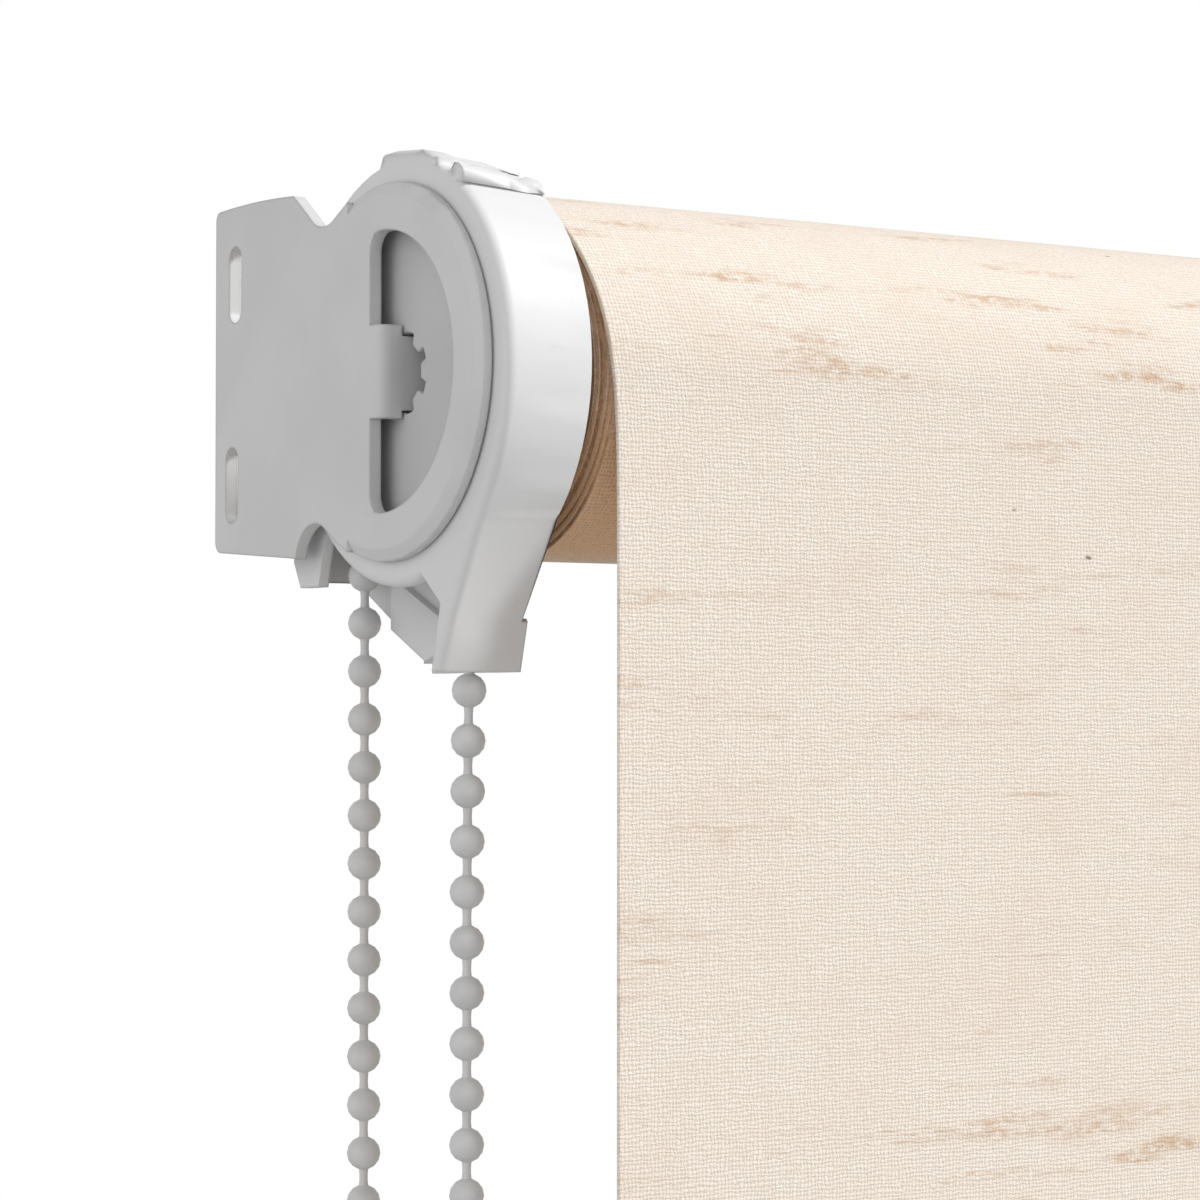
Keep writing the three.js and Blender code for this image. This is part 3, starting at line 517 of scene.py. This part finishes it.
def bead_chain(name, line):
    """A round profile along the line whose radius is a bead's circle near each bead and the cord between.

    Beads are counted from the first that hangs clear on each strand, so the count is whole round the
    bottom of the loop and over the wheel.
    """
    gone = np.concatenate([[0], np.cumsum(np.linalg.norm(np.diff(line, axis=0), axis=1))])
    falling = line[:, 1] > AXIS_Y + 5 * MM
    wall = gone[np.argmax(falling & (line[:, 2] < FIRST_WALL_BEAD))]
    lowest = np.argmin(line[:, 2])
    room = gone[lowest + np.argmax(line[lowest:, 2] > FIRST_ROOM_BEAD)]
    below = round((room - wall) / PITCH)
    start = wall - math.floor(wall / PITCH) * PITCH
    ahead = np.arange(start, wall - 1e-9, PITCH)
    hanging_beads = np.linspace(wall, room, below + 1)
    on_wheel = np.arange(room + PITCH, gone[-1] - PITCH / 2, PITCH)
    beads = np.concatenate([ahead, hanging_beads, on_wheel])
    opening = 0.28  # radians from the bead's pole to where the cord enters it
    round_stations = -0.5 * BEAD * np.cos(np.linspace(opening, math.pi - opening, 7))
    stations = (beads[:, None] + round_stations[None, :]).ravel()
    half_cord = np.sqrt((0.5 * BEAD) ** 2 - round_stations**2)
    radius = np.tile(half_cord, len(beads))
    between = (beads[:-1, None] + np.array([0.45, 0.55]) * np.diff(beads)[:, None]).ravel()
    stations = np.concatenate([stations, between, [gone[0] + 0.2 * MM, gone[-1] - 0.2 * MM]])
    radius = np.concatenate([radius, np.full(len(between) + 2, CORD / 2)])
    order = np.argsort(stations)
    stations = stations[order]
    radius = radius[order]

    def along_line(distance):
        return np.stack([np.interp(distance, gone, line[:, k]) for k in range(3)], axis=1)

    centre = along_line(stations)
    run = along_line(stations + 0.4 * MM) - along_line(stations - 0.4 * MM)
    run /= np.linalg.norm(run, axis=1)[:, None]
    side = np.array([1.0, 0, 0]) + 0 * run
    front = np.cross(run, side)
    sides = 14
    turn = np.linspace(0, 2 * math.pi, sides, endpoint=False)
    ring = side[:, None, :] * np.cos(turn)[:, None] + front[:, None, :] * np.sin(turn)[:, None]
    points = centre[:, None, :] + radius[:, None, None] * ring
    round_it, down_it = np.meshgrid(turn / (2 * math.pi), stations)
    uv = np.stack([round_it, down_it], axis=-1)
    return surface(name, points[:, ::-1], uv[:, ::-1], closed=True)


def chain_plastic(name):
    """Satin bead plastic with a faint cloudy colour; the cord's twist shows as slanting ridges."""
    finish = Finish(name, ior=1.48)
    where = finish.place()
    cloud = finish.noise(where, 300, detail=3)
    fine = finish.noise(where, 2200, detail=2)
    shade = finish.mix(cloud.between(0.3, 0.7), (0.65, 0.65, 0.65, 1), (0.71, 0.71, 0.71, 1))
    uv = finish.node("ShaderNodeUVMap", {"uv_map": "flat"})
    strands = 2
    lay_length = 1.3 * MM
    u = finish.part(uv, 0)
    v = finish.part(uv, 1)
    twist = (u * (2 * math.pi * strands) + v * (2 * math.pi / lay_length)).sine()
    return finish.done(
        base_color=shade,
        roughness=0.38 + 0.12 * fine,
        normal=finish.bump(twist * 0.5 + fine * 0.2, 0.03 * MM, 0.35),
    )


line = chain_route()
chain = bead_chain("bead_chain", line)
chain_finish = chain_plastic("chain_plastic")
chain.data.materials.append(chain_finish)
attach(chain, "brackets")
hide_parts("chain_on_wheel", "chain_wall_upper", "chain_lower_loop", "chain_room_upper")
connector = finished("snap_connector", "chain_connector", "brackets", chain_finish)
stop = finished("stop_ball", "chain_stop_ball", "brackets", chain_finish)

# ---- Room --------------------------------------------------------------------------------------
# A pale floor below the blind, a soft high key light from the room side, and a pale surround that is
# brightest at the level of the blind and shows plain white behind it.
plain = Finish("floor_paint", roughness=0.9)
plain_shade = plain.noise(plain.place(), 1.5, detail=2)
floor_finish = plain.done(base_color=plain.mix(plain_shade, (0.80, 0.80, 0.80, 1), (0.84, 0.84, 0.84, 1)))
FLOOR_Z = -1.0
span = np.linspace(-0.55, 0.55, 5)
floor_x, floor_y = np.meshgrid(0.3 + span, -0.05 + span)
floor = surface("floor", np.stack([floor_x, floor_y, FLOOR_Z + 0 * floor_x], axis=-1)[:, ::-1])
floor.data.materials.append(floor_finish)

world = bpy.data.worlds.new("surround")
bpy.context.scene.world = world
world.use_nodes = True
sky = world.node_tree
background = sky.nodes["Background"]
direction = sky.nodes.new("ShaderNodeTexCoord")
split = sky.nodes.new("ShaderNodeSeparateXYZ")
sky.links.new(direction.outputs["Generated"], split.inputs[0])
ramp = sky.nodes.new("ShaderNodeValToRGB")
height = sky.nodes.new("ShaderNodeMapRange")
height.inputs[1].default_value = -1
sky.links.new(split.outputs[2], height.inputs[0])
sky.links.new(height.outputs[0], ramp.inputs[0])
FROM_BELOW, FROM_LEVEL, FROM_ABOVE = 0.13, 0.76, 0.30  # how bright the surround is
stops = ramp.color_ramp.elements
stops[0].color = (FROM_BELOW, FROM_BELOW, FROM_BELOW, 1)
stops[1].color = (FROM_ABOVE, FROM_ABOVE, FROM_ABOVE, 1)
stops.new(0.5).color = (FROM_LEVEL, FROM_LEVEL, FROM_LEVEL, 1)
seen = sky.nodes.new("ShaderNodeBackground")
seen.inputs[0].default_value = (1, 1, 1, 1)
choose = sky.nodes.new("ShaderNodeMixShader")
rays = sky.nodes.new("ShaderNodeLightPath")
sky.links.new(ramp.outputs[0], background.inputs[0])
sky.links.new(rays.outputs["Is Camera Ray"], choose.inputs[0])
sky.links.new(background.outputs[0], choose.inputs[1])
sky.links.new(seen.outputs[0], choose.inputs[2])
sky.links.new(choose.outputs[0], sky.nodes["World Output"].inputs[0])
bpy.context.scene.view_settings.view_transform = "Standard"


def lamp(name, strength, spread, heading):
    """A distant lamp whose light travels along heading, softened over spread degrees."""
    light = bpy.data.lights.new(name, "SUN")
    light.energy = strength
    light.angle = math.radians(spread)
    stand = bpy.data.objects.new(name, light)
    stand.rotation_euler = Vector(heading).to_track_quat("-Z", "Y").to_euler()
    bpy.context.scene.collection.objects.link(stand)


lamp("key", 2.5, 13, (-0.51, 0.55, -0.66))
lamp("fill", 0.5, 70, (0.95, 0.2, -0.15))

# The camera stands on the room side, beyond the clutch end and just below the roller, and looks along
# the blind and slightly up.
TURN = math.radians(33.17)
TILT = math.radians(1.88)
lens = bpy.data.cameras.new("camera")
lens.sensor_width = 36
lens.lens = 108
lens.clip_start = 0.01
lens.clip_end = 100
camera = bpy.data.objects.new("camera", lens)
camera.location = (-213.3 * MM, AXIS_Y - 374.5 * MM, -41.5 * MM)  # left of the arm, in front, a little low
aim = Vector((math.sin(TURN) * math.cos(TILT), math.cos(TURN) * math.cos(TILT), math.sin(TILT)))
camera.rotation_euler = aim.to_track_quat("-Z", "Y").to_euler()
bpy.context.scene.collection.objects.link(camera)
bpy.context.scene.camera = camera
